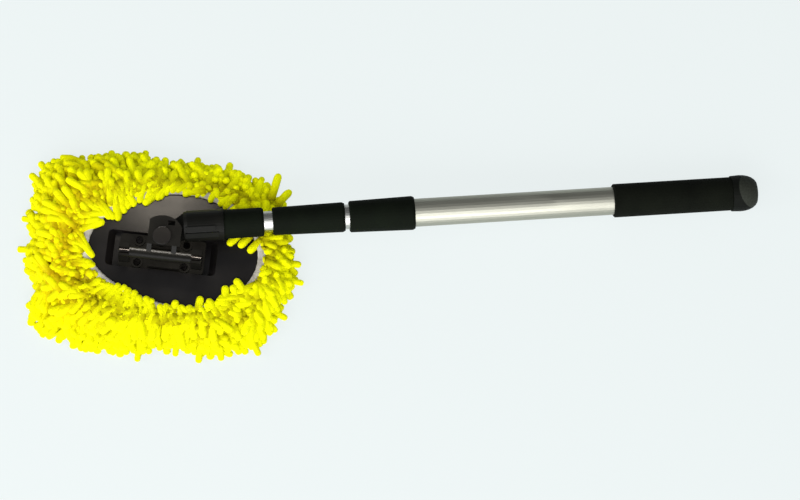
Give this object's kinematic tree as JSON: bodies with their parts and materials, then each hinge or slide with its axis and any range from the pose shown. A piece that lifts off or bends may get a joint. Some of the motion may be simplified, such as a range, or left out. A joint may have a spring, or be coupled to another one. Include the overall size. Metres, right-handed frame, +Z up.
{
  "type": "car wash mop",
  "caption": "Car wash mop: oval chenille pad on a plastic plate, two-axis swivel joint and a telescopic twist-lock pole with a rubber grip.",
  "frame": {"origin": "on the floor, under the middle of the mop plate", "axes": "+X along the plate's long side and the hinge bar, towards the pole; +Y to the side the yoke lies on; +Z up"},
  "size_m": [0.6501, 0.2258, 0.061],
  "materials": {
    "plate_plastic": "black moulded polypropylene, satin",
    "joint_plastic": "black glass-filled nylon, fine satin",
    "steel": "plain bright steel",
    "acetal": "natural white acetal",
    "aluminium": "satin drawn tube",
    "grip_rubber": "matt black",
    "chenille": "yellow microfibre chenille",
    "hem_cloth": "pale grey woven hem",
    "elastic": "natural latex"
  },
  "bodies": {
    "head": {"mop_plate": "plate_plastic", "hinge_bracket": "joint_plastic", "bracket_screw_1": "steel", "bracket_screw_2": "steel", "bracket_screw_3": "steel", "bracket_screw_4": "steel", "hinge_rod": "steel", "chenille_sole": "chenille", "hem_band": "hem_cloth", "hem_elastic": "elastic", "chenille_slice_1": "chenille", "chenille_slice_2": "chenille", "chenille_slice_3": "chenille", "chenille_slice_4": "chenille", "chenille_slice_5": "chenille", "chenille_slice_6": "chenille", "chenille_slice_7": "chenille", "chenille_slice_8": "chenille"},
    "yoke": {"hinge_yoke": "joint_plastic", "pivot_pin": "joint_plastic", "pin_clip": "steel", "lower_washer": "acetal", "upper_washer": "acetal"},
    "pole_head": {"pole_socket": "joint_plastic", "tip_collar": "joint_plastic", "inner_tube": "aluminium", "inner_guide_plug": "acetal"},
    "middle": {"middle_tube": "aluminium", "middle_collet": "acetal", "middle_guide_plug": "acetal"},
    "middle_nut": {"middle_lock_nut": "joint_plastic"},
    "outer": {"outer_tube": "aluminium", "outer_collet": "acetal", "grip_sleeve": "grip_rubber", "end_cap": "grip_rubber"},
    "outer_nut": {"outer_lock_nut": "joint_plastic"}
  },
  "joints": [
    {"name": "yoke_tilt", "type": "hinge", "parent": "head", "child": "yoke", "pos_m": [0.00188, -0.0085, 0.04794], "axis": [0.998, 0, -0.0626], "range_deg": [0, 180]},
    {"name": "pole_swing", "type": "hinge", "parent": "yoke", "child": "pole_head", "pos_m": [0.00188, 0.007, 0.04794], "axis": [0.0626, 0, 0.998], "range_deg": [-10, 128]},
    {"name": "middle_slide", "type": "slide", "parent": "pole_head", "child": "middle", "axis": [0.9823, 0.1771, -0.0616], "range_m": [0, 0.26]},
    {"name": "middle_nut_twist", "type": "hinge", "parent": "middle", "child": "middle_nut", "pos_m": [0.12784, 0.03967, 0.04004], "axis": [0.9823, 0.1771, -0.0616], "range_deg": [0, 180]},
    {"name": "outer_slide", "type": "slide", "parent": "middle", "child": "outer", "axis": [0.9823, 0.1771, -0.0616], "range_m": [0, 0.225]},
    {"name": "outer_nut_twist", "type": "hinge", "parent": "outer", "child": "outer_nut", "pos_m": [0.19169, 0.05118, 0.03604], "axis": [0.9823, 0.1771, -0.0616], "range_deg": [0, 180]}
  ]
}
